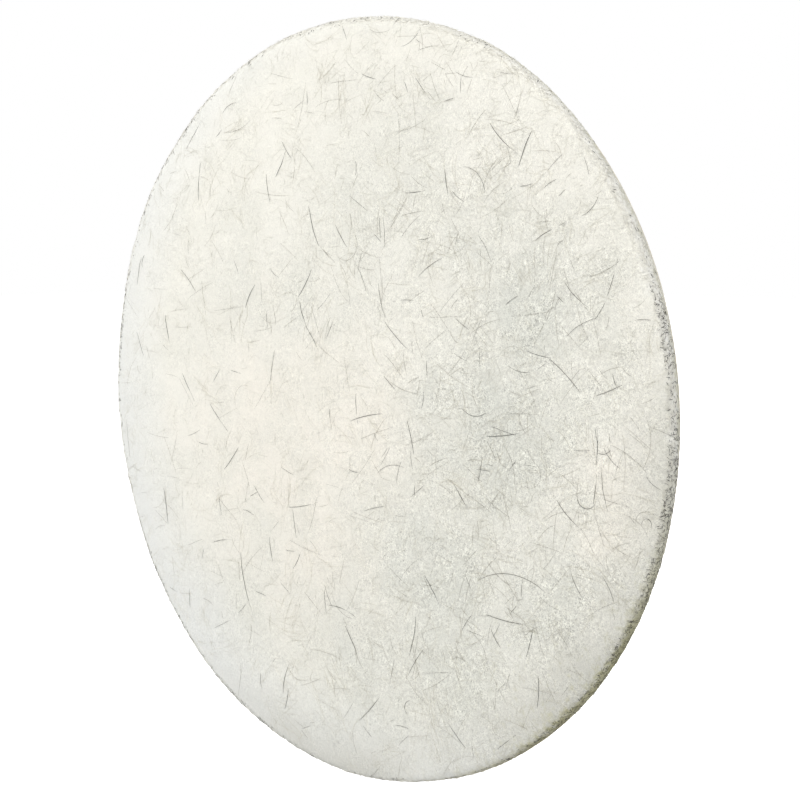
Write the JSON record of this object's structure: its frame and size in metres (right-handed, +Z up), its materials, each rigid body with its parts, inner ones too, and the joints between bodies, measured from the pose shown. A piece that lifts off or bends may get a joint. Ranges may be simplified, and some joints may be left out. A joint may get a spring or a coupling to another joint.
{
  "type": "felt polishing wheel",
  "caption": "Thin round pressed wool felt polishing disc with no centre hole, backed with double-sided tape under a slit paper release liner.",
  "frame": {"origin": "middle of the wheel: on its spin axis, halfway through its thickness", "axes": "+Y is the spin axis and points out of the liner-covered back, so the polishing face looks along -Y; +Z is up with the wheel standing on edge; the liner's slit runs along Z"},
  "size_m": [0.1524, 0.0036, 0.1524],
  "materials": {
    "wool_felt": "pressed undyed wool felt, matt and slightly hairy",
    "felt_side_adhesive": "pale acrylic adhesive, slightly cloudy",
    "carrier_film": "clear polyester film",
    "plate_side_adhesive": "pale tacky acrylic adhesive, glossy and finely rippled",
    "liner_paper": "bleached kraft paper, matt outside and silicone-coated inside"
  },
  "bodies": {
    "wheel": {"felt_disc": "wool_felt", "felt_side_adhesive": "felt_side_adhesive", "carrier_film": "carrier_film", "plate_side_adhesive": "plate_side_adhesive"},
    "liner_left": {"release_liner_left": "liner_paper"},
    "liner_right": {"release_liner_right": "liner_paper"}
  },
  "joints": [
    {"name": "peel_left", "type": "hinge", "parent": "wheel", "child": "liner_left", "pos_m": [-0.0762, 0.00164, 0], "axis": [0, 0, 1], "range_deg": [0, 150]},
    {"name": "peel_right", "type": "hinge", "parent": "wheel", "child": "liner_right", "pos_m": [0.0762, 0.00164, 0], "axis": [0, 0, -1], "range_deg": [0, 150]}
  ]
}
